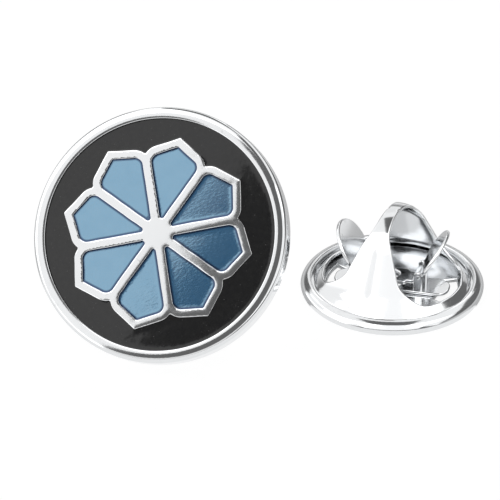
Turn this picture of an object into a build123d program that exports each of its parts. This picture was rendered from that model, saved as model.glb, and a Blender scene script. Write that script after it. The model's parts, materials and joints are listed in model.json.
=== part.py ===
from build123d import *
from math import asin, atan2, cos, hypot, radians, sin, sqrt, tan
import os

# A round enamel lapel pin leaning on its rim and the tip of its post, with the butterfly clutch
# of that post lying flat beside it. Millimetres, +Z up, the pin's face towards -Y. The origin is
# on the surface that both rest on, below the middle of the whole.

# Pin, the cast metal
badge_radius = 8.0
badge_thickness = 1.5
rim_width = 0.65
rim_front_round = 0.28
rim_back_round = 0.25
recess_depth = 0.5
metal_edge_round = 0.08
pin_turn = 14.0

# Pin, the raised flower
petal_count = 8
petal_tip_from_edge = 2.38
petal_reach = badge_radius - petal_tip_from_edge
petal_tip_angle = 120.0
petal_wall = 0.55
petal_border = 0.50
petal_inner_round = 0.30
petal_shoulder_round = 0.55
petal_tip_round = 0.14
flower_tip_round = 0.10
flower_valley_round = 0.15
flower_hub_radius = 1.05
flower_turn = -4.9

# Pin, the enamel
enamel_drop = 0.06
enamel_side_gap = 0.03
enamel_floor_gap = 0.02

# Pin, the post soldered on the back
post_radius = 0.55
post_length = 9.9
post_point_length = 1.8
post_tip_radius = 0.15
solder_pad_radius = 1.6
solder_pad_height = 0.25
solder_neck_size = 0.25

# Clutch, where it lies and how its pieces are turned
clutch_from_pin_x = 14.33
clutch_behind_rim = 8.7
bow_turn = 26.0
wing_turn = 13.0

# Clutch, the base plate with its rolled rim
clutch_radius = 5.8
plate_lift = 0.15
plate_sheet = 0.30
rim_lip = 0.25
rim_lip_round = 0.08
rim_wall = 0.38
rim_lip_reach = 0.30
rim_seat_radius = clutch_radius - rim_wall
rim_lip_radius = rim_seat_radius - rim_lip_reach
post_hole_radius = 0.65
cutout_from_seat = 1.12
cutout_width = 1.4
cutout_outer_radius = rim_seat_radius - cutout_from_seat
cutout_inner_radius = cutout_outer_radius - cutout_width
cutout_half_angle = 24.0

# Clutch, the pressed cap
cap_sheet = 0.24
cap_seat_gap = 0.03
cap_edge_gap = 0.06
cap_height = 6.0
cap_flank_angle = 65.0
cap_flare_height = 1.4
cap_flare_round = 2.5
cap_flare_width = 1.8
cap_foot_inset = 0.17
cap_foot_round = 0.3
cap_flange_radius = rim_seat_radius - cap_edge_gap
cap_foot_radius = rim_lip_radius - cap_foot_inset
cap_crown_round = cap_foot_radius - cap_flare_width

# Clutch, the bow left between the windows, as half widths and the heights they are at
bow_rows = [
    {"half": 0.38, "height": 6.2},
    {"half": 0.60, "height": 5.3},
    {"half": 1.00, "height": 4.5},
    {"half": 1.50, "height": 3.3},
    {"half": 2.05, "height": 2.2},
    {"half": 3.30, "height": 1.28},
    {"half": 4.55, "height": 1.12},
]

# Clutch, the spring plate and the lugs that carry the levers
spring_gap = 0.03
spring_sheet = 0.20
spring_half_length = 3.7
spring_half_width = 0.95
spring_end_radius = 0.7
lug_sheet = 0.25
lug_width = 0.60
lug_gap = 0.06
lug_margin = 0.24
lug_flat = 0.10

# Clutch, the two levers
lever_sheet = 0.25
lever_slope = 60.0
lever_length = 3.97
lever_bend_s = 1.55
jaw_lift = 0.32
jaw_gap = 0.05
jaw_half_width = 0.85
jaw_notch_radius = 0.45
neck_half_width = 0.60
ear_start = 1.35
ear_half_width = 1.95
ear_corner_round = 0.6
pivot_along = 0.75
pivot_radius = 0.13
pivot_clearance = 0.04

# How the pin leans: the rounded back edge of the rim and the rounded tip of the post both touch
# the surface
rim_arm = badge_radius - rim_back_round
post_arm = post_length - post_tip_radius + rim_back_round
lean = atan2(post_arm, rim_arm) + asin((post_tip_radius - rim_back_round) / hypot(rim_arm, post_arm))
back_height = rim_arm * sin(lean) - rim_back_round * cos(lean) + rim_back_round
turn = radians(pin_turn)
normal = Vector(-sin(turn) * sin(lean), -cos(turn) * sin(lean), cos(lean))
uphill = Vector(sin(turn) * cos(lean), cos(turn) * cos(lean), sin(lean))
across = uphill.cross(normal)


def reach(direction, radius, height, rounding):
    # How far a rounded circular edge of the disc reaches from the centre of its back
    along = direction.dot(normal)
    return (radius - rounding) * sqrt(1 - along**2) + height * along + rounding


# The pin's reach on each side, and the middle of the whole
left = Vector(-1, 0, 0)
front = Vector(0, -1, 0)
front_edge_height = badge_thickness - rim_front_round
pin_left = max(
    reach(left, badge_radius, front_edge_height, rim_front_round),
    reach(left, badge_radius, rim_back_round, rim_back_round),
)
rim_contact = rim_arm * uphill.Y - rim_back_round * normal.Y
clutch_y = clutch_behind_rim - rim_contact
pin_front = reach(front, badge_radius, front_edge_height, rim_front_round)
middle_x = (clutch_from_pin_x + clutch_radius - pin_left) / 2
middle_y = (clutch_y + clutch_radius - pin_front) / 2

# Planes of the pin: its back, and a section through its axis
back_centre = Vector(-middle_x, -middle_y, back_height)
back = Plane(origin=back_centre, x_dir=across, z_dir=normal)
pin_section = Plane(origin=back_centre, x_dir=across, z_dir=across.cross(normal))
pin_axis = Axis(back_centre, normal)

# Planes of the clutch: the floor under it and sections along its bow and its levers
clutch_centre = Vector(clutch_from_pin_x - middle_x, clutch_y - middle_y, 0)
clutch_axis = Axis(clutch_centre, (0, 0, 1))
bow_side = Vector(cos(radians(bow_turn)), -sin(radians(bow_turn)), 0)
bow_section = Plane(origin=clutch_centre, x_dir=bow_side, z_dir=bow_side.cross(Vector(0, 0, 1)))
cap_section = Plane(origin=clutch_centre, x_dir=-bow_section.z_dir, z_dir=bow_side)
wing_side = Vector(cos(radians(wing_turn)), -sin(radians(wing_turn)), 0)
wing_floor = Plane(origin=clutch_centre, x_dir=wing_side, z_dir=(0, 0, 1))
wing_section = Plane(origin=clutch_centre, x_dir=wing_side, z_dir=wing_side.cross(Vector(0, 0, 1)))

# Heights on the pin, from its back
recess_floor = badge_thickness - recess_depth
rim_inner_radius = badge_radius - rim_width
enamel_bottom = recess_floor + enamel_floor_gap
enamel_top = badge_thickness - enamel_drop

# The petal, whose sides lie half a wall from the line between two petals
half_petal = radians(180 / petal_count)
half_tip = radians(petal_tip_angle / 2)


def petal_outline(grow):
    # One petal along +X, grown on all sides, with sharp tip and rounded shoulders
    start = (petal_wall / 2 - grow) / sin(half_petal)
    tip = petal_reach + grow / sin(half_tip)
    shoulder_x = (tip * tan(half_tip) + start * tan(half_petal)) / (tan(half_tip) + tan(half_petal))
    shoulder_y = (shoulder_x - start) * tan(half_petal)
    with BuildSketch() as outline:
        with BuildLine():
            Polyline((start, 0), (shoulder_x, -shoulder_y), (tip, 0), (shoulder_x, shoulder_y), close=True)
        make_face()
        by_x = outline.vertices().sort_by(Axis.X)
        fillet(by_x[1:3], radius=petal_shoulder_round + grow)
    return outline.sketch


def petal_fill(shrink):
    # The enamelled part of a petal, with its inner end and its tip rounded too
    with BuildSketch() as fill:
        add(petal_outline(-shrink))
        by_x = fill.vertices().sort_by(Axis.X)
        fillet(by_x[0], radius=petal_inner_round)
        fillet(by_x[-1], radius=petal_tip_round)
    return fill.sketch


def flower_outline(grow):
    # The outer edge of the raised metal flower, with its eight soft points
    with BuildSketch() as petal:
        add(petal_outline(petal_border + grow))
        fillet(petal.vertices().sort_by(Axis.X)[-1], radius=flower_tip_round)
    with BuildSketch() as flower:
        Circle(flower_hub_radius)
        with PolarLocations(0, petal_count, start_angle=flower_turn):
            add(petal.sketch)
        valleys = flower.vertices().sort_by(lambda corner: hypot(corner.X, corner.Y))[:petal_count]
        fillet(valleys, radius=flower_valley_round)
    return flower.sketch


# Cast metal: disc, rim, flower and post in one
with BuildPart() as badge:
    with BuildSketch(pin_section):
        with BuildLine():
            rim_crest = badge_radius - rim_front_round
            Polyline(
                (0, recess_floor),
                (rim_inner_radius, recess_floor),
                (rim_inner_radius, badge_thickness),
                (rim_crest, badge_thickness),
            )
            CenterArc((rim_crest, front_edge_height), rim_front_round, 90, -90)
            Line((badge_radius, front_edge_height), (badge_radius, rim_back_round))
            CenterArc((rim_arm, rim_back_round), rim_back_round, 0, -90)
            Polyline(
                (rim_arm, 0),
                (solder_pad_radius, 0),
                (post_radius + solder_neck_size, -solder_pad_height),
                (post_radius, -(solder_pad_height + solder_neck_size)),
                (post_radius, -(post_length - post_point_length)),
                (post_tip_radius, -(post_length - post_tip_radius)),
            )
            CenterArc((0, -(post_length - post_tip_radius)), post_tip_radius, 0, -90)
            Line((0, -post_length), (0, recess_floor))
        make_face()
    revolve(axis=pin_axis)
    with BuildSketch(back.offset(recess_floor)):
        add(flower_outline(0))
    extrude(amount=recess_depth)
    with BuildSketch(back.offset(recess_floor)):
        with PolarLocations(0, petal_count, start_angle=flower_turn):
            add(petal_fill(0))
    extrude(amount=recess_depth, mode=Mode.SUBTRACT)
    crest = badge.faces().filter_by(back).group_by(pin_axis)[-1]
    flower_top = crest.sort_by(SortBy.AREA)[-1]
    rim_top = crest.sort_by(SortBy.AREA)[0]
    fillet(flower_top.edges() + rim_top.inner_wires().edges(), radius=metal_edge_round)
badge.part.label = "badge"

# Black enamel ground between the rim and the flower
with BuildPart() as black_enamel:
    with BuildSketch(back.offset(enamel_bottom)):
        Circle(rim_inner_radius - enamel_side_gap)
        add(flower_outline(enamel_side_gap), mode=Mode.SUBTRACT)
    extrude(amount=enamel_top - enamel_bottom)
black_enamel.part.label = "black_enamel"

# Blue enamel, one pool in each petal
petal_enamels = []
for petal_index in range(petal_count):
    petal_turn = flower_turn + petal_index * 360 / petal_count
    with BuildPart() as petal_enamel:
        with BuildSketch(back.offset(enamel_bottom)):
            add(petal_fill(enamel_side_gap), rotation=petal_turn)
        extrude(amount=enamel_top - enamel_bottom)
    petal_enamel.part.label = f"petal_enamel_{petal_index + 1}"
    petal_enamels.append(petal_enamel.part)

# Base of the clutch: a round plate whose edge is rolled up and over the cap's flange
plate_top = plate_lift + plate_sheet
flange_bottom = plate_top + cap_seat_gap
flange_top = flange_bottom + cap_sheet
lip_bottom = flange_top + cap_seat_gap
rim_height = lip_bottom + rim_lip
roll_radius = rim_height / 2
roll_centre = clutch_radius - roll_radius
with BuildSketch() as cutout:
    with BuildLine():
        outer = CenterArc((0, 0), cutout_outer_radius, -cutout_half_angle, 2 * cutout_half_angle)
        inner = CenterArc((0, 0), cutout_inner_radius, -cutout_half_angle, 2 * cutout_half_angle)
        Line(inner @ 0, outer @ 0)
        Line(inner @ 1, outer @ 1)
    make_face()
with BuildPart() as clutch_base:
    with BuildSketch(bow_section):
        with BuildLine():
            Polyline(
                (roll_centre, 0),
                (roll_centre - plate_lift, plate_lift),
                (post_hole_radius, plate_lift),
                (post_hole_radius, plate_top),
                (rim_seat_radius, plate_top),
                (rim_seat_radius, lip_bottom),
                (rim_lip_radius, lip_bottom),
                (rim_lip_radius, rim_height - rim_lip_round),
                (rim_lip_radius + rim_lip_round, rim_height),
                (roll_centre, rim_height),
            )
            CenterArc((roll_centre, roll_radius), roll_radius, 90, -180)
        make_face()
    revolve(axis=clutch_axis)
    with BuildSketch(wing_floor):
        with PolarLocations(0, 2):
            add(cutout.sketch)
    extrude(amount=plate_top, mode=Mode.SUBTRACT)
clutch_base.part.label = "clutch_base"

# Cap of the clutch: a bell pressed from sheet, its flange under the rolled rim, with the
# windows cut through from front to back so that a bow is left between them
with BuildPart() as clutch_cap:
    with BuildSketch(cap_section):
        with BuildLine():
            crown = CenterArc((0, cap_height - cap_crown_round), cap_crown_round, 90, -cap_flank_angle)
            flank_drop = (crown @ 1).Y - cap_flare_height
            outside = FilletPolyline(
                crown @ 1,
                ((crown @ 1).X + flank_drop / tan(radians(cap_flank_angle)), cap_flare_height),
                (cap_foot_radius, flange_top),
                (cap_flange_radius, flange_top),
                radius=[cap_flare_round, cap_foot_round],
            )
            offset([crown, outside], amount=cap_sheet, side=Side.RIGHT, closed=False, mode=Mode.ADD)
            Line((0, cap_height), (0, cap_height - cap_sheet))
            Line((cap_flange_radius, flange_top), (cap_flange_radius, flange_bottom))
        make_face()
    revolve(axis=clutch_axis)
    with BuildSketch(bow_section):
        with BuildLine():
            bow_edge = Spline(*[(row["half"], row["height"]) for row in bow_rows])
            window_bottom = bow_rows[-1]["height"]
            window_top = bow_rows[0]["height"]
            Polyline(
                bow_edge @ 1,
                (clutch_radius, window_bottom),
                (clutch_radius, window_top),
                bow_edge @ 0,
            )
        make_face()
        mirror(about=Plane.YZ)
    extrude(amount=clutch_radius, both=True, mode=Mode.SUBTRACT)
clutch_cap.part.label = "clutch_cap"

# Spring plate across the base, with two pairs of lugs bent up from it
spring_bottom = plate_top + spring_gap
spring_top = spring_bottom + spring_sheet
jaw_bottom = spring_top + jaw_lift
slope_s = cos(radians(lever_slope))
slope_z = sin(radians(lever_slope))
pivot_s = lever_bend_s + pivot_along * slope_s - lever_sheet / 2 * slope_z
pivot_z = jaw_bottom + pivot_along * slope_z + lever_sheet / 2 * slope_s
lug_inner = neck_half_width + lug_gap
lug_top = pivot_z + lug_width / 2
lug_middle = (spring_bottom + lug_top) / 2
with BuildPart() as spring_plate:
    with BuildSketch(wing_floor.offset(spring_bottom)) as strip:
        Rectangle(2 * spring_half_length, 2 * spring_half_width)
        fillet(strip.vertices(), radius=spring_end_radius)
        Circle(post_hole_radius, mode=Mode.SUBTRACT)
    extrude(amount=spring_sheet)
    with BuildSketch(wing_section) as lug_pair:
        with Locations((pivot_s, lug_middle), (-pivot_s, lug_middle)):
            Rectangle(lug_width, lug_top - spring_bottom)
        fillet(lug_pair.vertices().group_by(Axis.Y)[-1], radius=lug_width / 2 - lug_flat)
        with Locations((pivot_s, pivot_z), (-pivot_s, pivot_z)):
            Circle(pivot_radius + pivot_clearance, mode=Mode.SUBTRACT)
    extrude(amount=lug_inner + lug_sheet, both=True)
    with BuildSketch(wing_floor.offset(spring_top)):
        Rectangle(2 * clutch_radius, 2 * lug_inner)
    extrude(amount=lug_top, mode=Mode.SUBTRACT)
spring_plate.part.label = "spring_plate"

# Levers: an ear, a neck between the lugs and a jaw that closes on the post, on a cross pin
jaw_wide_end = pivot_s - lug_width / 2 - lug_margin
levers = []
for name, side in (("wing_right", 1), ("wing_left", -1)):
    side_floor = Plane(origin=clutch_centre, x_dir=wing_side * side, z_dir=(0, 0, 1))
    bend = side_floor.from_local_coords(Vector(lever_bend_s, 0, jaw_bottom))
    slope = side_floor.x_dir * slope_s + Vector(0, 0, slope_z)
    arm_plane = Plane(origin=bend, x_dir=side_floor.y_dir, z_dir=side_floor.y_dir.cross(slope))
    pivot_plane = Plane(
        origin=side_floor.from_local_coords(Vector(pivot_s, 0, pivot_z)),
        x_dir=side_floor.x_dir,
        z_dir=side_floor.y_dir,
    )
    with BuildPart() as lever:
        with BuildSketch(side_floor.offset(jaw_bottom)):
            with Locations(((jaw_gap / 2 + jaw_wide_end) / 2, 0)):
                Rectangle(jaw_wide_end - jaw_gap / 2, 2 * jaw_half_width)
            with Locations(((jaw_wide_end + lever_bend_s) / 2, 0)):
                Rectangle(lever_bend_s - jaw_wide_end, 2 * neck_half_width)
            Circle(jaw_notch_radius, mode=Mode.SUBTRACT)
        extrude(amount=lever_sheet)
        with BuildSketch(arm_plane) as arm:
            with BuildLine():
                ear_shoulder = lever_length - ear_half_width
                Polyline(
                    (ear_half_width, ear_shoulder),
                    (ear_half_width, ear_start),
                    (neck_half_width, ear_start),
                    (neck_half_width, 0),
                    (-neck_half_width, 0),
                    (-neck_half_width, ear_start),
                    (-ear_half_width, ear_start),
                    (-ear_half_width, ear_shoulder),
                )
                ThreePointArc(
                    (-ear_half_width, ear_shoulder), (0, lever_length), (ear_half_width, ear_shoulder)
                )
            make_face()
            ear_base = arm.vertices().group_by(Axis.Y)[1].sort_by(lambda corner: abs(corner.X))
            fillet(ear_base[2:], radius=ear_corner_round)
        extrude(amount=-lever_sheet)
        with BuildSketch(pivot_plane):
            Circle(pivot_radius)
        extrude(amount=lug_inner + lug_sheet + pivot_clearance, both=True)
    lever.part.label = name
    levers.append(lever.part)

# One STEP file for each piece
os.makedirs("parts", exist_ok=True)
fixed_pieces = [badge.part, black_enamel.part, clutch_base.part, clutch_cap.part, spring_plate.part]
for piece in fixed_pieces + petal_enamels + levers:
    export_step(piece, f"parts/{piece.label}.step")
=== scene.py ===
import json
import math

import bpy
import numpy as np
from mathutils import Matrix, Vector, geometry, kdtree, noise


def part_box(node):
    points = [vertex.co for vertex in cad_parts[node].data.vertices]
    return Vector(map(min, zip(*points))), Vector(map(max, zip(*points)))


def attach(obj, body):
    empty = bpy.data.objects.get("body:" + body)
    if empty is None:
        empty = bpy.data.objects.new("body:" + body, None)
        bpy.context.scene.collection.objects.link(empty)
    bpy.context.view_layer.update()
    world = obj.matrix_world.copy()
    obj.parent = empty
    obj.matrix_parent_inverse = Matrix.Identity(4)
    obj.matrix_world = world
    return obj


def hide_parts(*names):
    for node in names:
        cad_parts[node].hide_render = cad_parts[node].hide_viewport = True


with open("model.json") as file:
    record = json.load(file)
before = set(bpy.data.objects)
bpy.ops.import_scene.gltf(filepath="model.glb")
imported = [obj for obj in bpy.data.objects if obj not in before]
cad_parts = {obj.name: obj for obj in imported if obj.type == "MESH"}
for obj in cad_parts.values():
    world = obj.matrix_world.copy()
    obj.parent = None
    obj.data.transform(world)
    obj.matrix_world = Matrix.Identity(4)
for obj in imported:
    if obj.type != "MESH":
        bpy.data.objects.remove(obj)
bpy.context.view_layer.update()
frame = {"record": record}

# The pin and its clutch, as they lie
# The pin leans on its rim and on the tip of its post, its face towards the viewer. The clutch
# lies flat beside it. Both are placed by the imported model: its post and its base.
MM = 0.001
up = Vector((0, 0, 1))
mounts = {mount["name"]: mount for mount in frame["record"]["mounts"]}
post_mount_behind_back = 4.3 * MM
pin_normal = -Vector(mounts["post"]["axis"])
pin_across = up.cross(pin_normal).normalized()
pin_uphill = pin_normal.cross(pin_across)
pin_back = Vector(mounts["post"]["pos_m"]) + pin_normal * post_mount_behind_back
base_low, base_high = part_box("clutch_base")
clutch_floor = Vector(((base_low.x + base_high.x) / 2, (base_low.y + base_high.y) / 2, 0))


def placed(x_axis, z_axis, origin):
    """A frame to make a piece in, in millimetres, and the place that it has on the table."""
    columns = (x_axis.normalized(), z_axis.cross(x_axis).normalized(), z_axis.normalized())
    return Matrix.Translation(origin) @ Matrix(columns).transposed().to_4x4() @ Matrix.Scale(MM, 4)


def towards(azimuth, elevation=0.0, distance=1.0):
    """A point this far from the middle of the table, in metres, seen at these degrees."""
    a, e = math.radians(azimuth), math.radians(elevation)
    level_reach = distance * math.cos(e)
    return Vector((level_reach * math.cos(a), level_reach * math.sin(a), distance * math.sin(e)))


pin_frame = placed(pin_across, pin_normal, pin_back)
bow_turn = 26.0
wing_turn = 13.0
bow_frame = placed(towards(-bow_turn), up, clutch_floor)
wing_frame = placed(towards(-wing_turn), up, clutch_floor)


# Camera
# A long lens at 31 degrees above the table, as in the photograph. The middle of the clutch's
# floor comes at one pixel of the 500 pixel frame, and the scale follows from the distance.
image_size = 500
half_image = image_size / 2
camera_elevation = math.radians(31.0)
focal_pixels = 4570.0
clutch_pixel = (392.0, 290.0)
camera_distance = 290.0 * MM
sensor_width = 36.0
sight = Vector((0, math.cos(camera_elevation), -math.sin(camera_elevation)))
picture_right = Vector((1, 0, 0))
picture_up = Vector((0, math.sin(camera_elevation), math.cos(camera_elevation)))
pixel = camera_distance / focal_pixels
picture_middle = (
    clutch_floor
    - picture_right * (clutch_pixel[0] - half_image) * pixel
    + picture_up * (clutch_pixel[1] - half_image) * pixel
)
camera = bpy.data.objects.new("camera", bpy.data.cameras.new("camera"))
camera.data.sensor_width = sensor_width
camera.data.lens = focal_pixels / image_size * sensor_width
camera.data.clip_start = 10 * MM
camera.location = picture_middle - sight * camera_distance
camera.rotation_mode = "QUATERNION"
camera.rotation_quaternion = sight.to_track_quat("-Z", "Y")
bpy.context.scene.collection.objects.link(camera)
bpy.context.scene.camera = camera


# Table
# A sheet of white board, lit until it is plain white. It glows a little, as a board lit from
# below does, so that the shadows stay soft.
class Amount:
    """One output of a shader node, which sums and products can be written with."""

    def __init__(self, tree, socket):
        self.tree = tree
        self.socket = socket

    def joined(self, operation, first, second, clamp=False):
        node = self.tree.nodes.new("ShaderNodeMath")
        node.operation = operation
        node.use_clamp = clamp
        for socket, value in zip(node.inputs, (first, second)):
            if isinstance(value, Amount):
                self.tree.links.new(value.socket, socket)
            else:
                socket.default_value = value
        return Amount(self.tree, node.outputs[0])

    def __add__(self, other):
        return self.joined("ADD", self, other)

    def __sub__(self, other):
        return self.joined("SUBTRACT", self, other)

    def __rsub__(self, other):
        return self.joined("SUBTRACT", other, self)

    def __mul__(self, other):
        return self.joined("MULTIPLY", self, other)

    __radd__ = __add__
    __rmul__ = __mul__

    def between(self, low, high):
        """0 below low, 1 above high, and even in between."""
        return self.joined("MULTIPLY", self - low, 1 / (high - low), clamp=True)


class Finish:
    """A material, or the light of the room around, while its nodes are being joined."""

    def __init__(self, name, surface="BsdfPrincipled", output="OutputMaterial"):
        library = bpy.data.materials if output == "OutputMaterial" else bpy.data.worlds
        self.made = library.new(name)
        self.made.use_nodes = True
        self.tree = self.made.node_tree
        self.tree.nodes.clear()
        self.surface = self.node(surface, {}, {})
        self.node(output, {}, {"Surface": self.surface})

    def node(self, kind, settings, sockets, result=0):
        """Adds a node: its settings, the values and links of its sockets, and its result."""
        node = self.tree.nodes.new("ShaderNode" + kind)
        for name, value in settings.items():
            setattr(node, name, value)
        self.feed(node, sockets)
        return Amount(self.tree, node.outputs[result]) if len(node.outputs) else node

    def feed(self, node, sockets):
        """Sets or links sockets, each by its name or, where several share one, by its number."""
        for name, value in sockets.items():
            if isinstance(name, int):
                socket = node.inputs[name]
            else:
                socket = next(s for s in node.inputs if s.name == name and not s.is_unavailable)
            if isinstance(value, Amount):
                self.tree.links.new(value.socket, socket)
            else:
                socket.default_value = value

    def set(self, sockets):
        """Sets more sockets of the surface itself."""
        self.feed(self.surface.socket.node, sockets)

    def places(self):
        """Where on the object a point is, in millimetres."""
        here = self.node("TexCoord", {}, {}, result="Object")
        return self.node("VectorMath", {"operation": "SCALE"}, {"Vector": here, "Scale": 1 / MM})

    def mottle(self, size, detail=2.0, places=None):
        """Cloudy unevenness, from 0 to 1, with patches of this size in millimetres."""
        where = places or self.places()
        return self.node("TexNoise", {}, {"Vector": where, "Scale": 1 / size, "Detail": detail})

    def blend(self, share, first, second):
        """A colour between two others."""
        sockets = {"Factor": share, "A": first, "B": second}
        return self.node("Mix", {"data_type": "RGBA"}, sockets, result=2)

    def relief(self, height, depth, under=None):
        """A bump of this depth in millimetres, for a height from 0 to 1."""
        sockets = {"Height": height, "Distance": depth * MM, "Strength": 1.0}
        if under is not None:
            sockets["Normal"] = under
        return self.node("Bump", {}, sockets)


def shape(name, material, place, points, faces, normals=None):
    """A mesh object from points in its place's millimetres, with normals where they are known."""
    mesh = bpy.data.meshes.new(name)
    placed_points = [place @ Vector(point) for point in points]
    mesh.from_pydata(placed_points, [], [tuple(face) for face in faces])
    mesh.shade_smooth()
    if normals is not None:
        turn = place.to_3x3().normalized()
        mesh.normals_split_custom_set_from_vertices([turn @ Vector(n) for n in normals])
    mesh.materials.append(material)
    made = bpy.data.objects.new(name, mesh)
    bpy.context.scene.collection.objects.link(made)
    return made


def rectangle(left, low, right, high):
    """The corners of a rectangle, counterclockwise."""
    return [(left, low), (right, low), (right, high), (left, high)]


table_half = 1500.0
table_glow = 0.9
board = Finish("white_board")
board.set({"Base Color": (0.2, 0.2, 0.2, 1), "Roughness": 0.9, "Specular IOR Level": 0.1})
board.set({"Emission Color": (1, 1, 1, 1), "Emission Strength": table_glow})
table_corners = [(x, y, 0) for x, y in rectangle(-table_half, -table_half, table_half, table_half)]
table = shape("table", board.made, Matrix.Scale(MM, 4), table_corners, [(0, 1, 2, 3)])


# Polished nickel plate
# All the metal has one finish: bright nickel over polished metal. It keeps the faint waves of
# the buffing wheel, hairline scratches and a few dull spots.
nickel_colour = (0.77, 0.78, 0.79, 1)
dull_nickel_colour = (0.70, 0.705, 0.71, 1)
buffing_wave_size = 1.3
hairline_size = 0.35
hairline_stretch = (1.0, 9.0, 5.0)
hairline_roughness = 0.03
dull_spot_size = 0.55
dull_spot_range = (0.62, 0.80)
dull_spot_roughness = 0.10


def nickel_plate(name, roughness, wave_depth, scratch_depth):
    """Nickel of this roughness, its waves and scratches of these depths in millimetres."""
    nickel = Finish(name)
    waves = nickel.mottle(buffing_wave_size)
    stretched = {0: nickel.places(), 1: hairline_stretch}
    drawn_out = nickel.node("VectorMath", {"operation": "MULTIPLY"}, stretched)
    hairlines = nickel.mottle(hairline_size, 4.0, drawn_out)
    dull = nickel.mottle(dull_spot_size, 5.0).between(*dull_spot_range)
    buffed = nickel.relief(waves, wave_depth)
    rough = roughness + dull_spot_roughness * dull + hairline_roughness * hairlines
    nickel.set(
        {
            "Base Color": nickel.blend(dull, nickel_colour, dull_nickel_colour),
            "Metallic": 1.0,
            "Roughness": rough,
            "Normal": nickel.relief(hairlines, scratch_depth, under=buffed),
        }
    )
    return nickel.made


cast_nickel = nickel_plate("cast_nickel", roughness=0.05, wave_depth=0.002, scratch_depth=0.0003)


# Badge
# The cast metal of the pin: a disc with a raised rim, the raised walls of an eight-petal flower
# on it, and on its back the post, all soldered and plated as one. Its edges are tumbled round.
def arc(centre, radius, start, stop, steps):
    """Points of an arc, its angles in degrees."""
    angles = np.radians(np.linspace(start, stop, steps + 1))
    return [(centre[0] + radius * math.cos(a), centre[1] + radius * math.sin(a)) for a in angles]


def rounded(corners, radii, spacing, closed=True):
    """A line through corners, each rounded by its radius, with points a spacing apart."""
    corners = [Vector(corner) for corner in corners]
    count = len(corners)
    ends = []
    for index, (corner, radius) in enumerate(zip(corners, radii)):
        if radius == 0:
            ends.append([corner])
            continue
        back = (corners[index - 1] - corner).normalized()
        on = (corners[(index + 1) % count] - corner).normalized()
        half = back.angle(on) / 2
        centre = corner + (back + on).normalized() * radius / math.sin(half)
        steps = max(4, math.ceil((math.pi - 2 * half) * radius / spacing))
        first = corner + back * radius / math.tan(half) - centre
        sweep = (math.pi - 2 * half) * (1 if back.cross(on) < 0 else -1)
        turns = [Matrix.Rotation(sweep * k / steps, 2) for k in range(steps + 1)]
        ends.append([centre + turn @ first for turn in turns])
    line = []
    for index, points in enumerate(ends):
        line.extend(points)
        if not closed and index == count - 1:
            break
        start, stop = points[-1], ends[(index + 1) % count][0]
        steps = max(1, math.ceil((stop - start).length / spacing))
        line.extend(start.lerp(stop, k / steps) for k in range(1, steps))
    return np.array([tuple(point) for point in line])


def lathe(profile, steps=256):
    """Points and faces of a profile of (radius, height) points, turned about the upright axis."""
    angles = np.linspace(0, 2 * math.pi, steps, endpoint=False)
    points = [(r * math.cos(a), r * math.sin(a), z) for r, z in profile for a in angles]
    faces = []
    for row in range(len(profile) - 1):
        lower, upper = row * steps, (row + 1) * steps
        for k in range(steps):
            on = (k + 1) % steps
            faces.append((lower + k, lower + on, upper + on, upper + k))
    return points, faces


badge_radius = 8.0
badge_thickness = 1.5
rim_inner_radius = 7.25
recess_floor = 1.0
post_radius = 0.55
post_length = 9.9
post_shoulder = 8.1
post_tip_radius = 0.15
solder_radius = 1.6
solder_edge_round = 0.5
solder_neck_height = 0.70
solder_neck_round = 0.45
flat_back_radius = 3.0
rim_bevel = 0.05
rim_crown = 0.03
rim_outer_round = 0.30
rim_back_round = 0.25
crest_start = rim_inner_radius + rim_bevel
crest_end = badge_radius - rim_outer_round
solder_neck = (post_radius + solder_neck_round, -solder_neck_height)
rim_profile = [
    (0, recess_floor),
    (rim_inner_radius, recess_floor),
    *arc((crest_start, badge_thickness - rim_bevel), rim_bevel, 180, 90, 8),
    ((crest_start + crest_end) / 2, badge_thickness + rim_crown),
    *arc((crest_end, badge_thickness - rim_outer_round), rim_outer_round, 90, 0, 14),
    *arc((badge_radius - rim_back_round, rim_back_round), rim_back_round, 0, -90, 10),
    (flat_back_radius, 0.0),
    *arc((solder_radius, -solder_edge_round), solder_edge_round, 90, 125, 3),
    *arc(solder_neck, solder_neck_round, 115, 180, 6),
    (post_radius, -1.5),
    (post_radius, -4.5),
    (post_radius, -post_shoulder + 0.05),
    (post_radius - 0.01, -post_shoulder - 0.03),
    (post_tip_radius + 0.02, -post_length + 0.22),
    *arc((0, -post_length + post_tip_radius), post_tip_radius, -15, -90, 5),
]

petal_count = 8
half_petal = math.pi / petal_count
half_tip = math.radians(60.0)
petal_reach = 5.62
petal_wall = 0.55
petal_border = 0.50
shoulder_round = 0.55
tip_round = 0.14
inner_round = 0.17
flower_tip_round = 0.10
valley_round = 0.15
flower_turn = math.radians(-4.9)
line_spacing = 0.06
flower_shrink = 0.985
flower_off_middle = np.array((-0.11, 0.03))
flower_wobble = 0.02
flower_grid = 0.09
petal_angles = [k * 2 * half_petal + flower_turn for k in range(petal_count)]


def petal_corners(grow):
    """Inner end, shoulder and tip of a petal along +X that is grown on all sides."""
    start = (petal_wall / 2 - grow) / math.sin(half_petal)
    tip = petal_reach + grow / math.sin(half_tip)
    slopes = math.tan(half_tip) + math.tan(half_petal)
    shoulder_x = (tip * math.tan(half_tip) + start * math.tan(half_petal)) / slopes
    return start, (shoulder_x, (shoulder_x - start) * math.tan(half_petal)), tip


def petal_line(grow):
    """The outline of the enamelled part of a petal, counterclockwise."""
    start, (x, y), tip = petal_corners(grow)
    corners = [(start, 0), (x, -y), (tip, 0), (x, y)]
    shoulder = shoulder_round + grow
    return rounded(corners, [inner_round, shoulder, tip_round, shoulder], line_spacing)


def turned(line, angle):
    """The line turned counterclockwise about the middle."""
    c, s = math.cos(angle), math.sin(angle)
    return line @ np.array([[c, s], [-s, c]])


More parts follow.
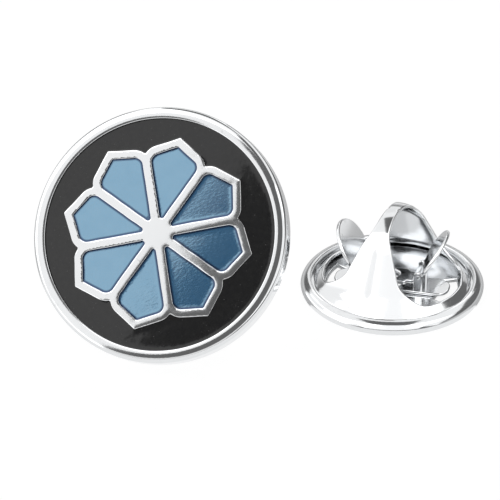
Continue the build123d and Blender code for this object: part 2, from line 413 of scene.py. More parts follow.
def flower_line():
    """The outer edge of the flower: from valley to valley over one petal, eight times."""
    start, (x, y), tip = petal_corners(petal_border)
    radius = shoulder_round + petal_border
    corners = [(start, 0), (x, -y), (tip, 0), (x, y)]
    line = rounded(corners, [0, radius, flower_tip_round, radius], line_spacing)
    shoulder = Vector((x, y))
    to_start = Vector((start, 0)) - shoulder
    to_tip = Vector((tip, 0)) - shoulder
    inward = to_start.normalized() + to_tip.normalized()
    half = to_start.angle(to_tip) / 2
    centre = shoulder + inward.normalized() * radius / math.sin(half)
    bisector = Vector((math.cos(half_petal), math.sin(half_petal)))
    along = bisector.dot(centre)
    out = along + math.sqrt(along**2 - centre.length_squared + (radius + valley_round) ** 2)
    valley = bisector * out
    meeting = centre + (valley - centre) * radius / (radius + valley_round)
    edge = math.atan2(meeting.y, meeting.x)
    kept = [p for p in line if abs(math.atan2(p[1], p[0])) < edge and p[0] > meeting.x]
    kept.sort(key=lambda p: math.atan2(p[1], p[0]))
    inner = math.atan2(-bisector.y, -bisector.x)
    spread = math.atan2(meeting.y - valley.y, meeting.x - valley.x) - inner
    spread = (spread + math.pi) % (2 * math.pi) - math.pi
    dip = [
        (valley.x + valley_round * math.cos(a), valley.y + valley_round * math.sin(a))
        for a in (inner + spread * k for k in np.linspace(1, -1, 9))
    ]
    sector = np.array(kept + dip)
    return np.concatenate([turned(sector, angle) for angle in petal_angles])


# A fixed seed, so that each run gives the same lines.
noise.seed_set(1)


def wobbled(line, amount, seed):
    """The line as a hand-finished die leaves it: a hair off true."""
    shift = [noise.noise_vector(Vector((x * 1.1, y * 1.1, seed))) * amount for x, y in line]
    return line + np.array([(v.x, v.y) for v in shift])


def sideways(line):
    """Unit directions to the left of each point of a closed line."""
    run = np.roll(line, -1, 0) - np.roll(line, 1, 0)
    run /= np.linalg.norm(run, axis=1)[:, None]
    return np.stack([-run[:, 1], run[:, 0]], 1)


def inside(points, lines):
    """Which points have an odd number of lines around them."""
    odd = np.zeros(len(points), bool)
    for line in lines:
        for (x1, y1), (x2, y2) in zip(line, np.roll(line, -1, 0)):
            if y1 == y2:
                continue
            crosses = (points[:, 1] >= min(y1, y2)) & (points[:, 1] < max(y1, y2))
            odd ^= crosses & (points[:, 0] < x1 + (points[:, 1] - y1) * (x2 - x1) / (y2 - y1))
    return odd


def plateau(lines, steps, crown, spacing):
    """A raised or sunk area with the lines as its edges, which have the area on their left.

    steps are (inset, height) rings from the edge in, and crown gives the height further in, for
    a distance from the edge. Also returns each point's distance from the edge.
    """
    points, faces, depths, last = [], [], [], []
    for line in lines:
        left, count, first = sideways(line), len(line), len(points)
        for inset, height in steps:
            points.extend((x, y, height) for x, y in line + left * inset)
            depths.extend([inset] * count)
        for row in range(first, first + (len(steps) - 1) * count, count):
            for k in range(count):
                a, b = row + k, row + (k + 1) % count
                faces.append((a, b, b + count, a + count))
        last.append((first + (len(steps) - 1) * count, line + left * steps[-1][0]))
    everything = np.concatenate(lines)
    tree = kdtree.KDTree(len(everything))
    for index, (x, y) in enumerate(everything):
        tree.insert((x, y, 0), index)
    tree.balance()
    low, high = everything.min(0), everything.max(0)
    rows = np.arange(low[1], high[1], spacing * math.sqrt(3) / 2)
    columns = np.arange(low[0], high[0], spacing)
    grid = np.array([(x + (j % 2) * spacing / 2, y) for j, y in enumerate(rows) for x in columns])
    grid = grid[inside(grid, [ring for _, ring in last])]
    inner, heights = [], []
    for x, y in grid:
        distance = tree.find((x, y, 0))[2]
        if distance > steps[-1][0] + spacing * 0.5:
            inner.append((x, y))
            heights.append(distance)
    flat = [Vector(p) for _, ring in last for p in ring] + [Vector(p) for p in inner]
    edges, offset, names = [], 0, []
    for first, ring in last:
        edges += [(offset + k, offset + (k + 1) % len(ring)) for k in range(len(ring))]
        names += range(first, first + len(ring))
        offset += len(ring)
    names += range(len(points), len(points) + len(inner))
    points.extend((x, y, crown(d)) for (x, y), d in zip(inner, heights))
    depths.extend(heights)
    bounds = set(edges)
    same_place = 1e-7
    filled = geometry.delaunay_2d_cdt(flat, edges, [], 0, same_place)
    triangles, origin = filled[2], filled[3]
    triangles = [tuple(origin[i][0] for i in triangle) for triangle in triangles]
    owner = {}
    for triangle in triangles:
        for edge in zip(triangle, triangle[1:] + triangle[:1]):
            owner[edge] = triangle
    waiting = [owner[edge] for edge in edges]
    kept = set()
    while waiting:
        triangle = waiting.pop()
        if triangle in kept:
            continue
        kept.add(triangle)
        for a, b in zip(triangle, triangle[1:] + triangle[:1]):
            if (a, b) not in bounds and (b, a) in owner:
                waiting.append(owner[(b, a)])
    faces += [tuple(names[i] for i in triangle) for triangle in kept]
    return points, faces, depths


wall_round = 0.018
wall_crown = 0.004
wall_crown_width = 0.16
wall_steps = [(0.0, recess_floor), (0.0, badge_thickness - wall_round)]
wall_steps += [
    (wall_round * (1 - math.cos(a)), badge_thickness - wall_round * (1 - math.sin(a)))
    for a in np.radians(np.linspace(12, 78, 6))
]
wall_edge_height = wall_steps[-1][1]


def wall_crowning(distance):
    """The height of a wall's top this far in from its edge."""
    rise = badge_thickness - wall_edge_height + wall_crown
    fall = math.exp(-(distance - wall_steps[-1][0]) / wall_crown_width)
    return wall_edge_height + rise * (1 - fall)


def as_struck(line, seed):
    """A line of the drawn flower, at the size and place that it has on this badge."""
    return wobbled(line * flower_shrink + flower_off_middle, flower_wobble, seed)


petal_holes = [as_struck(turned(petal_line(0.0), angle), 3.0)[::-1] for angle in petal_angles]
flower_edge = as_struck(flower_line(), 7.0)
flower_points, flower_faces, _ = plateau(
    [flower_edge] + petal_holes, wall_steps, wall_crowning, flower_grid
)
disc_points, disc_faces = lathe(rim_profile)
disc_faces = [face[::-1] for face in disc_faces]
badge = shape(
    "cast_badge",
    cast_nickel,
    pin_frame,
    disc_points + flower_points,
    disc_faces + [tuple(i + len(disc_points) for i in face) for face in flower_faces],
)
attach(badge, "pin_and_clutch")
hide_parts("badge")


# Black enamel
# The ground between the rim and the flower: opaque black glass, fired and polished level with
# the metal. It climbs a little up the walls, and has a speck of dust or a pit here and there.
def mark(piece, name, values):
    """Keeps a number for each point of a piece, which its material can read."""
    layer = piece.data.attributes.new(name, "FLOAT", "POINT")
    layer.data.foreach_set("value", np.array(values, np.float32))


enamels = []


def enamel_piece(name, lines, spacing, material, node):
    """Enamel between these lines, marked with its distance from the walls."""
    points, faces, depths = plateau(lines, enamel_steps, enamel_height, spacing)
    piece = shape(name, material, pin_frame, points, faces)
    mark(piece, "from_wall", depths)
    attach(piece, "pin_and_clutch")
    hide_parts(node)
    enamels.append(piece)
    return piece


enamel_level = badge_thickness - 0.024
meniscus_height = 0.013
meniscus_width = 0.085
enamel_overlap = 0.012
ground_grid = 0.16
black_colour = (0.009, 0.009, 0.0095, 1)
clouded_black_colour = (0.014, 0.014, 0.014, 1)
cloud_size = 0.25
speck_colour = (0.075, 0.075, 0.075, 1)
speck_size = 0.09
speck_roughness = 0.12
black_roughness = 0.06
ripple_size = 0.9
black_ripple_height = 0.004


def enamel_height(distance):
    """The height of the enamel's top this far from a wall."""
    return enamel_level + meniscus_height * math.exp(-max(distance, 0.0) / meniscus_width)


enamel_steps = [(inset, enamel_height(inset)) for inset in (0.0, 0.02, 0.045, 0.075, 0.11)]

black = Finish("black_enamel_glass")
specks = black.mottle(speck_size, 1.0).between(0.74, 0.80)
cloudy = black.mottle(cloud_size, 5.0).between(0.35, 0.75)
black_tone = black.blend(cloudy, black_colour, clouded_black_colour)
black.set(
    {
        "Base Color": black.blend(specks, black_tone, speck_colour),
        "Roughness": black_roughness + speck_roughness * specks,
        "Normal": black.relief(black.mottle(ripple_size), black_ripple_height),
    }
)
rim_wall = np.array(arc((0, 0), rim_inner_radius + enamel_overlap, 0, 360, 300)[:-1])
flower_wall = (flower_edge + sideways(flower_edge) * enamel_overlap)[::-1]
enamel_piece(
    "ground_of_black_enamel",
    [rim_wall, flower_wall],
    ground_grid,
    black.made,
    "black_enamel",
)


# Blue enamel
# A pool of clear blue glass in each petal, over the bright metal, which is left rough so that
# the glass holds. The glass is darker along the walls, and some beds slope a little.
share_of_glass = 0.4
glass_colour = (0.002, 0.10, 0.26, 1)
glass_colour_at_wall = (0.004, 0.022, 0.055, 1)
glass_roughness = 0.04
glass_ripple_height = 0.003
bed_colours = [(0.29, 0.49, 0.61, 1), (0.35, 0.555, 0.67, 1)]
bed_colour_at_wall = (0.03, 0.07, 0.17, 1)
bed_cloud_size = 0.8
bed_roughness = 0.065
hammer_mark_size = 0.22
hammer_mark_depth = 0.0018
bed_tilts = [-0.0045, -0.0098, 0.0, 0.0, 0.0, 0.0, 0.003, -0.0042]
across_beds = pin_across * 0.91 - pin_uphill * 0.41
pool_grid = 0.12

blue = Finish("blue_enamel_glass", "MixShader")
from_wall = blue.node("Attribute", {"attribute_name": "from_wall"}, {}, result="Fac")
# Glass and bed are coloured darker within about 0.19 mm of the walls.
darker_near_wall = 1 - from_wall.between(0.09, 0.19)
clouds = blue.mottle(bed_cloud_size, 3.0)
marks_turned = {"Vector": blue.places(), "Rotation": (0.0, 0.0, 0.9), "Scale": (1.0, 2.6, 1.0)}
hammered = blue.mottle(hammer_mark_size, 4.0, blue.node("Mapping", {}, marks_turned))
across_places = {0: blue.places(), 1: across_beds}
across = blue.node("VectorMath", {"operation": "DOT_PRODUCT"}, across_places, result="Value")
bed_tilt = blue.node("Attribute", {"attribute_name": "bed_tilt"}, {}, result="Fac")
sloped_bed = blue.relief(across * bed_tilt, 1.0)
bed = blue.node(
    "BsdfPrincipled",
    {},
    {
        "Base Color": blue.blend(darker_near_wall, blue.blend(clouds, *bed_colours), bed_colour_at_wall),
        "Metallic": 1.0,
        "Roughness": bed_roughness,
        "Normal": blue.relief(hammered, hammer_mark_depth, under=sloped_bed),
        "Coat Weight": 1.0,
        "Coat Roughness": 0.03,
    },
)
glass = blue.node(
    "BsdfPrincipled",
    {},
    {
        "Base Color": blue.blend(darker_near_wall, glass_colour, glass_colour_at_wall),
        "Roughness": glass_roughness,
        "Normal": blue.relief(blue.mottle(ripple_size), glass_ripple_height),
    },
)
blue.set({0: share_of_glass, 1: bed, 2: glass})
for k, hole in enumerate(petal_holes):
    pool = enamel_piece(
        f"pool_of_blue_enamel_{k + 1}",
        [hole[::-1] + sideways(hole[::-1]) * -enamel_overlap],
        pool_grid,
        blue.made,
        f"petal_enamel_{k + 1}",
    )
    mark(pool, "bed_tilt", np.full(len(pool.data.vertices), bed_tilts[k]))


# Base of the clutch
# A nickel-plated stamping whose edge is rolled up and over the cap's flange. It has a hole for
# the post and two cut-outs beside the levers. Its plate and its rolled rim are two meshes here.
def sheet(flat_points, faces, thickness, squareness=0.75, normals=None):
    """A sheet of metal with its middle on these points, and with tumbled edges."""
    points = np.array(flat_points, float)
    used = {edge for face in faces for edge in zip(face, face[1:] + face[:1])}
    if normals is None:
        normals = np.zeros_like(points)
        for face in faces:
            corners = points[list(face)]
            normal = np.cross(corners[1] - corners[0], corners[-1] - corners[0])
            for a in face:
                normals[a] += normal
        normals /= np.linalg.norm(normals, axis=1)[:, None]
    half = thickness / 2
    count = len(points)
    made = list(points + normals * half) + list(points - normals * half)
    made_normals = list(normals) + list(-normals)
    solid = list(faces) + [tuple(i + count for i in face[::-1]) for face in faces]
    after = {a: b for a, b in used if (b, a) not in used}
    while after:
        start, following = after.popitem()
        loop = [start]
        while following != start:
            loop.append(following)
            following = after.pop(following)
        ring = points[loop]
        out = np.cross(np.roll(ring, -1, 0) - np.roll(ring, 1, 0), normals[loop])
        out /= np.linalg.norm(out, axis=1)[:, None]
        rings = [loop]
        for angle in np.radians(np.linspace(0, 180, 9)[1:-1]):
            up, side = math.cos(angle), math.sin(angle)
            rings.append(list(range(len(made), len(made) + len(loop))))
            lift = math.copysign(abs(up) ** squareness, up) * normals[loop]
            made.extend(ring + half * (lift + side**squareness * out))
            lean = math.copysign(abs(up) ** (2 - squareness), up) * normals[loop]
            made_normals.extend(lean + side ** (2 - squareness) * out)
        rings.append([i + count for i in loop])
        for upper, lower in zip(rings, rings[1:]):
            for k in range(len(loop)):
                on = (k + 1) % len(loop)
                solid.append((upper[on], upper[k], lower[k], lower[on]))
    return made, solid, made_normals


def level_area(lines, height, spacing):
    """Points and faces of a level area with these lines as its edges."""
    return plateau(lines, [(0.0, height)], lambda distance: height, spacing)[:2]


def added(*parts):
    """Several sets of points, faces and normals as one."""
    points, faces, normals = [], [], []
    for more_points, more_faces, *more_normals in parts:
        faces += [tuple(i + len(points) for i in face) for face in more_faces]
        points += [tuple(point) for point in more_points]
        normals += more_normals[0] if more_normals else [(0, 0, 0)] * len(more_points)
    return points, faces, normals


clutch_radius = 5.8
rim_height = 1.0
plate_sheet = 0.30
plate_middle = 0.30
roll_round = rim_height / 2
roll_centre = clutch_radius - roll_round
rim_lip_radius = 5.12
rim_lip_round = 0.09
rim_lip_bottom = 0.75
rim_seat_radius = 5.42
rim_seat_bottom = 0.45
post_hole_radius = 0.65
cutout_inner_radius = 2.9
cutout_outer_radius = 4.3
cutout_half_angle = 24.0
cutout_turn = math.radians(bow_turn - wing_turn)

sheet_nickel = nickel_plate("sheet_nickel", roughness=0.10, wave_depth=0.004, scratch_depth=0.0003)


def smooth_through(points, steps):
    """A curve through points, with this many steps between each two."""
    points = [Vector(p) for p in points]
    ends = [2 * points[0] - points[1]] + points + [2 * points[-1] - points[-2]]
    line = []
    for a, b, c, d in zip(ends, ends[1:], ends[2:], ends[3:]):
        for k in range(steps):
            t = k / steps
            squared = (2 * a - 5 * b + 4 * c - d) * t**2
            cubed = (3 * b - a - 3 * c + d) * t**3
            line.append((2 * b + (c - a) * t + squared + cubed) / 2)
    return np.array([tuple(p) for p in line + [points[-1]]])


def cutout_line():
    """The outline of the cut-out at the right, counterclockwise."""
    outer = arc((0, 0), cutout_outer_radius, -cutout_half_angle, cutout_half_angle, 24)
    inner = arc((0, 0), cutout_inner_radius, cutout_half_angle, -cutout_half_angle, 16)
    return np.array(outer + inner)


plate_edge = np.array(arc((0, 0), roll_centre - 0.1, 0, 360, 180)[:-1])
post_hole = np.array(arc((0, 0), post_hole_radius + plate_sheet / 2, 0, -360, 48)[:-1])
cutouts = [turned(cutout_line(), cutout_turn + half_turn)[::-1] for half_turn in (0.0, math.pi)]
plate_area = level_area([plate_edge, post_hole] + cutouts, plate_middle, 0.25)
rim_side = smooth_through(
    [
        (roll_centre - 0.45, 0.12),
        (roll_centre, 0.0),
        (roll_centre + 0.36, 0.14),
        (clutch_radius, 0.45),
        (clutch_radius - 0.05, 0.66),
        (clutch_radius - 0.16, 0.81),
        (clutch_radius - 0.32, 0.915),
        (clutch_radius - 0.48, rim_height - 0.02),
        (rim_lip_radius + rim_lip_round, rim_height),
    ],
    6,
)
lip_middle = (rim_lip_radius + rim_lip_round, rim_height - rim_lip_round)
rim_section = [
    *map(tuple, rim_side),
    *arc(lip_middle, rim_lip_round, 80, 180, 6),
    (rim_lip_radius, rim_lip_bottom),
    (rim_seat_radius, rim_lip_bottom),
    (rim_seat_radius, rim_seat_bottom),
]
plate = shape("base_plate", sheet_nickel, bow_frame, *sheet(*plate_area, plate_sheet))
rim = shape("rolled_rim", sheet_nickel, bow_frame, *lathe(rim_section))
for base_piece in (plate, rim):
    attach(base_piece, "pin_and_clutch")
    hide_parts("clutch_base")


# Cap of the clutch
# A bell pressed from nickel-plated sheet, held by the rolled rim. Two windows are cut out of it
# for the levers, and leave a bow over the middle, widest at its two feet.
cap_sheet = 0.24
cap_height = 6.0
cap_crown_round = 3.15
cap_flank_angle = 65.0
cap_flare_height = 1.4
cap_flare_round = 2.5
cap_foot_radius = 4.95
cap_foot_round = 0.3
cap_flange_radius = 5.3
cap_flange_top = 0.72
bow_halves = (0.38, 0.60, 1.00, 1.50, 2.05, 3.30, 4.55)
bow_heights = (6.2, 5.3, 4.5, 3.3, 2.2, 1.28, 1.12)
bow_full_height = 5.0
sill_inset = 0.35
widest_leg_angle = math.radians(80)
cap_edge_squareness = 0.9

crown = arc((0, cap_height - cap_crown_round), cap_crown_round, 90 - cap_flank_angle, 89.6, 90)
flank_run = (crown[0][1] - cap_flare_height) / math.tan(math.radians(cap_flank_angle))
skirt_corners = [
    crown[0],
    (crown[0][0] + flank_run, cap_flare_height),
    (cap_foot_radius, cap_flange_top),
    (cap_flange_radius, cap_flange_top),
]
skirt = rounded(skirt_corners, [0, cap_flare_round, cap_foot_round, 0], 0.07, closed=False)
bell = np.concatenate([skirt[::-1], np.array(crown[1:])])
bell_run = np.gradient(bell, axis=0)
bell_run /= np.linalg.norm(bell_run, axis=1)[:, None]
bow_edge = smooth_through(zip(bow_halves, bow_heights), 8)[::-1]
bow_edge_run = np.gradient(bow_edge, axis=0)
bow_edge_run /= np.linalg.norm(bow_edge_run, axis=1)[:, None]
leg_steps = 28
side_steps = 14
least_step = 0.012


def bell_radius(height):
    """The radius of the cap's outside at this height."""
    return float(np.interp(height, bell[:, 1], bell[:, 0]))


facing = [math.sqrt(max(0.0, 1 - (half / bell_radius(z)) ** 2)) for half, z in bow_edge]
facing = np.maximum(facing, np.minimum(1.0, bow_edge[:, 1] / bow_full_height))
inset = np.stack([-bow_edge_run[:, 1] * facing, bow_edge_run[:, 0] * sill_inset], 1)
grid_edge = bow_edge + inset * cap_sheet / 2


def leg_half_angle(height):
    """Half the angle that a leg of the bow takes up at this height."""
    half = np.interp(height, grid_edge[:, 1], grid_edge[:, 0])
    return math.asin(min(1.0, half / bell_radius(height)))


def leg_angles(half_angle, leg):
    """The angles of a row of points across a leg of the bow, whose front leg is leg 0."""
    middle = math.radians(-90 if leg == 0 else 90)
    return [middle + half_angle * b for b in np.linspace(-1, 1, leg_steps + 1)]


cap_points, cap_faces = [], []


def level(radius, height, angles):
    """Adds a level row of points and returns their numbers."""
    first = len(cap_points)
    cap_points.extend((radius * math.cos(a), radius * math.sin(a), height) for a in angles)
    return list(range(first, len(cap_points)))


def span(lower, upper):
    """Fills the strip between two rows."""
    cap_faces.extend(zip(lower, lower[1:], upper[1:], upper))


sill_height = float(grid_edge[0, 1])
sill_half_angle = min(leg_half_angle(sill_height), widest_leg_angle)
front, rear = (leg_angles(sill_half_angle, leg) for leg in (0, 1))
right_side = list(np.linspace(front[-1], rear[0], side_steps + 1))[1:-1]
left_side = list(np.linspace(rear[-1], front[0] + 2 * math.pi, side_steps + 1))[1:-1]
round_angles = front + right_side + rear + left_side
ring_rows = [(r, z) for r, z in bell if z < sill_height - 0.02]
ring_rows.append((bell_radius(sill_height), sill_height))
rows = [level(r, z, round_angles) for r, z in ring_rows]
for lower, upper in zip(rows, rows[1:]):
    span(lower + lower[:1], upper + upper[:1])
sill = rows[-1]
legs = [sill[: leg_steps + 1], sill[leg_steps + side_steps : 2 * leg_steps + side_steps + 1]]
joined = None
last_height = sill_height
for height in sorted([*bell[:, 1], *grid_edge[:, 1]]):
    if height < last_height + least_step or height > bell[-1, 1]:
        continue
    last_height = height
    radius = bell_radius(height)
    half_angle = leg_half_angle(height)
    if half_angle < math.pi / 2 - 0.02:
        above = [level(radius, height, leg_angles(half_angle, leg)) for leg in (0, 1)]
        span(legs[0], above[0])
        span(legs[1], above[1])
        legs = above
        continue
    all_round = leg_angles(math.pi / 2, 0)[:-1] + leg_angles(math.pi / 2, 1)[:-1]
    whole = level(radius, height, all_round)
    above = whole + whole[:1]
    if joined is None:
        span(legs[0], above[: leg_steps + 1])
        span(legs[1], above[leg_steps:])
    else:
        span(joined, above)
    joined = above
top = len(cap_points)
cap_points.append((0.0, 0.0, cap_height))
cap_faces += [(a, b, top) for a, b in zip(joined, joined[1:])]
cap_points = np.array(cap_points)
cap_radii = np.hypot(cap_points[:, 0], cap_points[:, 1])
nearest = [
    int(np.argmin(np.hypot(bell[:, 0] - r, bell[:, 1] - z)))
    for r, z in zip(cap_radii, cap_points[:, 2])
]
rise, fall = bell_run[nearest].T
flat_directions = cap_points[:, :2] / np.maximum(cap_radii, 1e-9)[:, None]
cap_normals = np.concatenate([flat_directions * fall[:, None], -rise[:, None]], 1)
cap_normals /= np.linalg.norm(cap_normals, axis=1)[:, None]
cap_middle = cap_points - cap_normals * cap_sheet / 2
cap_made = sheet(cap_middle, cap_faces, cap_sheet, cap_edge_squareness, cap_normals)
cap = shape("pressed_cap", sheet_nickel, bow_frame, *cap_made)
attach(cap, "pin_and_clutch")
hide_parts("clutch_cap")


# Spring plate
# A strip of nickel-plated spring steel across the base, with the post hole in it. Four lugs are
# bent up from it and carry the levers' cross pins.
spring_middle = 0.58
spring_sheet = 0.20
spring_half_length = 3.7
spring_half_width = 0.95
spring_end_round = 0.7
lug_sheet = 0.25
lug_side = 0.785
lug_half_width = 0.30
lug_roundness = 0.9
lever_sheet = 0.25
lever_slope = math.radians(60.0)
lever_run, lever_rise = math.cos(lever_slope), math.sin(lever_slope)
lever_bend = 1.55
jaw_bottom = 1.0
half_sheet = lever_sheet / 2
pivot_along = 0.75
pivot_side = lever_bend + pivot_along * lever_run - half_sheet * lever_rise
pivot_height = jaw_bottom + pivot_along * lever_rise + half_sheet * lever_run

inset_length = spring_half_length - spring_sheet / 2
inset_width = spring_half_width - spring_sheet / 2
strip_corners = rectangle(-inset_length, -inset_width, inset_length, inset_width)
strip_line = rounded(strip_corners, [spring_end_round] * 4, 0.1)
strip_hole = np.array(arc((0, 0), post_hole_radius + spring_sheet / 2, 0, -360, 48)[:-1])
strip_parts = [sheet(*level_area([strip_line, strip_hole], spring_middle, 0.2), spring_sheet)]
wide = lug_half_width - lug_sheet / 2
high = pivot_height + wide
lug_round = wide * lug_roundness
for middle in (-pivot_side, pivot_side):
    corners = rectangle(middle - wide, spring_middle, middle + wide, high)
    outline = rounded(corners, [0, 0, lug_round, lug_round], 0.04)
    flat, faces = level_area([outline], 0.0, 0.1)
    for lug_place in (-lug_side, lug_side):
        upright = [(x, lug_place, y) for x, y, _ in flat]
        strip_parts.append(sheet(upright, faces, lug_sheet))
strip = shape("strip_with_lugs", sheet_nickel, wing_frame, *added(*strip_parts))
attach(strip, "pin_and_clutch")
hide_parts("spring_plate")


# Levers
# Each is one stamping of nickel-plated spring sheet: a jaw that grips the post, a neck between
# the lugs and a wide ear to pinch. It turns on a cross pin through the lugs, and its ear leans
# out through a window of the cap.
jaw_end = 0.025
jaw_half_width = 0.85
jaw_wide_end = 0.997
neck_half_width = 0.60
jaw_notch_radius = 0.45
ear_start = 1.35
ear_half_width = 1.95
ear_corner_round = 0.6
lever_length = 3.97
bend_round = 0.22
cross_pin_radius = 0.13
cross_pin_half_length = 0.95
cross_pin_edge_round = 0.04
ear_dish = 0.10
ear_top_start = 0.08
arm_offset = half_sheet * math.tan(lever_slope / 2)
bend_middle = lever_bend - arm_offset


def lever_line():
    """The outline of the flat stamping: x from the post outwards, y across, less half a sheet."""
    shrink = half_sheet
    ear_end = bend_middle + lever_length - arm_offset - shrink
    ear_low = bend_middle + ear_start - arm_offset + shrink
    wide = ear_half_width - shrink
    shoulder = ear_end - wide
    top_angles = np.linspace(ear_top_start, math.pi - ear_top_start, 40)
    top = [(shoulder + wide * math.sin(a), -wide * math.cos(a)) for a in top_angles]
    notch = jaw_notch_radius + shrink
    reach = math.sqrt(notch**2 - (jaw_end + shrink) ** 2)
    start = jaw_end + shrink
    lower = rounded(
        [
            (start, -reach),
            (start, -jaw_half_width + shrink),
            (jaw_wide_end - shrink, -jaw_half_width + shrink),
            (jaw_wide_end + 0.05, -neck_half_width + shrink),
            (ear_low, -neck_half_width + shrink),
            (ear_low, -wide),
            (shoulder, -wide),
        ],
        [0, 0.05, 0.05, 0.02, 0.08, ear_corner_round - shrink, 0],
        0.06,
        closed=False,
    )
    upper = [(x, -y) for x, y in lower[::-1]]
    angle = math.atan2(reach, start)
    bite_angles = np.linspace(angle, -angle, 12)[1:-1]
    bite = [(notch * math.cos(a), notch * math.sin(a)) for a in bite_angles]
    return np.array([tuple(p) for p in lower] + top + upper + bite)


def bent(x, y, side):
    """Where a point of the flat stamping comes once the arm is bent up and the ear is dished."""
    arc_half = bend_round * math.tan(lever_slope / 2)
    start = bend_middle - arc_half
    length = bend_round * lever_slope
    if x < start:
        s, z = x, 0.0
    elif x < start + length:
        a = (x - start) / bend_round
        s, z = start + bend_round * math.sin(a), bend_round * (1 - math.cos(a))
    else:
        on = x - start - length
        s = start + bend_round * lever_rise + on * lever_run
        z = bend_round * (1 - lever_run) + on * lever_rise
    past = max(0.0, x - bend_middle - ear_start)
    dish = ear_dish * (past / (lever_length - ear_start)) ** 2
    s += dish * lever_rise
    z -= dish * lever_run
    return (side * s, side * y, z + jaw_bottom + half_sheet)


stamping, stamping_faces = level_area([lever_line()], 0.0, 0.07)
edge_radius = cross_pin_radius - cross_pin_edge_round
edge_height = cross_pin_half_length - cross_pin_edge_round
pin_profile = [
    (0, -cross_pin_half_length),
    *arc((edge_radius, -edge_height), cross_pin_edge_round, -90, 0, 4),
    *arc((edge_radius, edge_height), cross_pin_edge_round, 0, 90, 4),
    (0, cross_pin_half_length),
]
pin_points, pin_faces = lathe(pin_profile, 24)
levers = []
for name, side in (("right", 1), ("left", -1)):
    bent_sheet = sheet([bent(x, y, side) for x, y, _ in stamping], stamping_faces, lever_sheet)
    cross_pin = [(x + side * pivot_side, z, y + pivot_height) for x, y, z in pin_points]
    made = added(bent_sheet, (cross_pin, pin_faces))
    lever = shape(f"lever_{name}", sheet_nickel, wing_frame, *made)
    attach(lever, f"{name}_lever")
    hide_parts(f"wing_{name}")
    levers.append(lever)


# Soft boxes
# The lamps of the studio, guessed from what the metal mirrors. Some light only the pin or only
# pieces of the clutch. The pin's box ends where its mirror image crosses the pin's face, so that
# the flower is bright at its upper left. The clutch doesn't mirror the pin.
def softbox(name, middle, facing, along, size, radiance, receivers=None):
    """A soft box at middle that faces a point, with its first side along a direction."""
    data = bpy.data.lights.new(name, "AREA")
    data.shape = "RECTANGLE"
    data.size, data.size_y = size
    data.energy = radiance * math.pi * size[0] * size[1]
    box = bpy.data.objects.new(name, data)
    z_axis = (middle - facing).normalized()
    x_axis = (along - z_axis * along.dot(z_axis)).normalized()
    columns = (x_axis, z_axis.cross(x_axis), z_axis)
    box.matrix_world = Matrix.Translation(middle) @ Matrix(columns).transposed().to_4x4()
    box.visible_camera = False
    bpy.context.scene.collection.objects.link(box)
    if receivers:
        lit = bpy.data.collections.new(name + "_lights")
        for piece in receivers:
            lit.objects.link(piece)
        box.light_linking.receiver_collection = lit


def seen_at(column, row):
    """The point of the pin's face behind a pixel of the photograph."""
    right, down = column - half_image, row - half_image
    ray = sight * focal_pixels + picture_right * right - picture_up * down
    face = pin_back + pin_normal * badge_thickness * MM
    return camera.location + ray * ((face - camera.location).dot(pin_normal) / ray.dot(pin_normal))


def mirrored(point, distance):
    """Where the ray from the camera goes that the pin's face turns back at this point."""
    ray = (point - camera.location).normalized()
    return point + (ray - 2 * ray.dot(pin_normal) * pin_normal) * distance


def ceiling_box(name, x, y, size, radiance, receivers=None):
    """A soft box that hangs level under the ceiling and faces straight down."""
    middle = Vector((x, y, ceiling_height))
    softbox(name, middle, middle - up, level_x, size, radiance, receivers)


light_edge_top = (247, 168)
light_edge_bottom = (145, 327)
pin_face_pixel = (165, 235)
bright_pixel = (110, 180)
pin_light_distance = 130 * MM
pin_light_size = (300 * MM, 240 * MM)
edge_a = mirrored(seen_at(*light_edge_top), pin_light_distance)
edge_b = mirrored(seen_at(*light_edge_bottom), pin_light_distance)
pin_face = seen_at(*pin_face_pixel)
light_edge = (edge_b - edge_a).normalized()
edge_middle = (edge_a + edge_b) / 2
off_edge = light_edge.cross(pin_face - edge_middle).normalized()
bright_side = mirrored(seen_at(*bright_pixel), pin_light_distance) - edge_middle
off_edge *= math.copysign(pin_light_size[1] / 2, off_edge.dot(bright_side))

ceiling_height = 0.45
level_x = Vector((1, 0, 0))
level_y = Vector((0, 1, 0))
pieces_of_pin = [badge, *enamels]
pieces_of_clutch = [rim, cap, plate, strip, *levers]
boxes_for_pin = [
    ("left_box", towards(175, 26, 0.4), level_y, (0.5, 0.22), 1.0),
    ("right_box", towards(-60, 37, 0.4), Vector((1, 0.58, 0)), (0.38, 0.34), 1.0),
    ("low_front_box", towards(-112, 15, 0.4), level_x, (0.40, 0.22), 0.75),
]
boxes_for_clutch = [
    ("front_box", towards(-92, 42, 0.42), level_x, (0.60, 0.52), 1.08),
    ("front_left_box", towards(-144, 36, 0.50), level_x, (0.60, 0.5), 0.98),
    ("front_right_box", towards(-36, 40, 0.50), level_x, (0.42, 0.5), 1.0),
    ("side_box", clutch_floor + towards(177, 24, 0.45), level_y, (0.70, 0.39), 0.95),
]
pin_box = (edge_middle + off_edge, pin_face + off_edge, light_edge, pin_light_size)
softbox("pin_box", *pin_box, 0.95, pieces_of_pin)
for name, middle, along, size, radiance in boxes_for_pin:
    softbox(name, middle, pin_face, along, size, radiance, pieces_of_pin)
for name, middle, along, size, radiance in boxes_for_clutch:
    softbox(name, middle, clutch_floor, along, size, radiance, pieces_of_clutch)
ceiling_box("top_left_box", -0.31, 0.15, (0.38, 0.9), 0.95)
ceiling_box("top_right_box", 0.31, 0.15, (0.38, 0.9), 0.95)
ceiling_box("top_middle_box", 0, 0.10, (0.24, 0.6), 0.72, [plate, strip, *levers])
ceiling_box("top_rear_box", 0, 0.29, (0.24, 0.32), 0.95, [rim])
ceiling_box("cap_rear_box", 0, 0.345, (0.24, 0.21), 0.95, [cap])
softbox("back_box", towards(90, 32, 0.75), Vector((0, 0, 0)), level_x, (0.5, 0.34), 0.85)
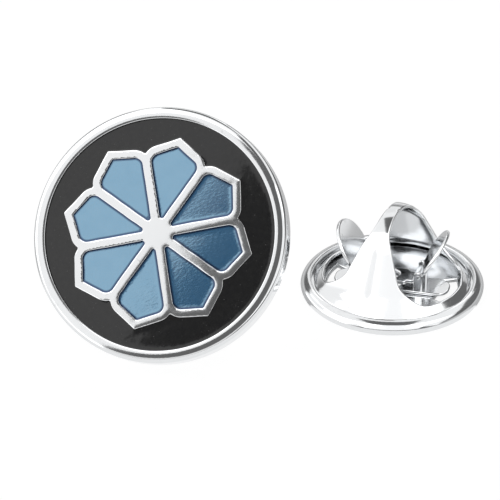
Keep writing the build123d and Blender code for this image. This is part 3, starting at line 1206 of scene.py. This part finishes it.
for piece in pieces_of_pin:
    piece.visible_glossy = False


# Grey cards
# Matt grey cards that the metal mirrors and the camera doesn't see: one upright beside the
# clutch, and one flat behind it, which is painted shade: it dims the table in its mirror image
# as the shade of the pieces on the table would.
def grey_card(name, corners, place, grey, glow):
    """A card with these corners, of this grey and this glow."""
    matt = Finish(name)
    tones = [(grey * tone, grey * tone, grey * tone, 1) for tone in (1.0, 1.15)]
    matt.set({"Base Color": matt.blend(matt.mottle(2.0), *tones), "Roughness": 0.9})
    matt.set({"Emission Color": (1, 1, 1, 1), "Emission Strength": glow})
    card = shape(name, matt.made, place, corners, [(0, 1, 2, 3)])
    card.visible_camera = card.visible_shadow = card.visible_diffuse = False


flag_foot = clutch_floor + towards(32, 0, 0.07)
flag_place = placed(towards(-58), up, flag_foot)
flag_corners = [(x, 0, z) for x, z in rectangle(-24, 12, 24, 66)]
shade_card_corners = [(x, y, 0.02) for x, y in rectangle(-60, 0, 60, 60)]
grey_card("grey_flag", flag_corners, flag_place, grey=0.2, glow=0.0)
# Painted shade: a flat grey card, glowing a little, that darkens the table only where the metal
# mirrors it.
grey_card("painted_shade_card", shade_card_corners, Matrix.Scale(MM, 4), grey=0.5, glow=0.25)


# Studio
# The room around, seen only by what mirrors it: its lower half is dimmer in front than behind,
# and its walls and ceiling are dark. The camera sees plain white in its place.
front_tone, rear_tone, ceiling_tone = 0.10, 0.70, 0.15
studio = Finish("studio", "MixShader", "OutputWorld")
direction = studio.node("TexCoord", {}, {}, result="Generated")
rearwards = studio.node("SeparateXYZ", {}, {"Vector": direction}, result="Y")
upwards = studio.node("SeparateXYZ", {}, {"Vector": direction}, result="Z")
low_tone = front_tone + (rear_tone - front_tone) * rearwards.between(-0.85, -0.35)
tone = low_tone + (ceiling_tone - low_tone) * upwards.between(0.10, 0.30)
camera_ray = studio.node("LightPath", {}, {}, result="Is Camera Ray")
dim = studio.node("Background", {}, {"Color": tone})
white = studio.node("Background", {}, {"Color": (1.05, 1.05, 1.05, 1)})
studio.set({0: camera_ray, 1: dim, 2: white})
bpy.context.scene.world = studio.made
bpy.context.scene.view_settings.view_transform = "Standard"
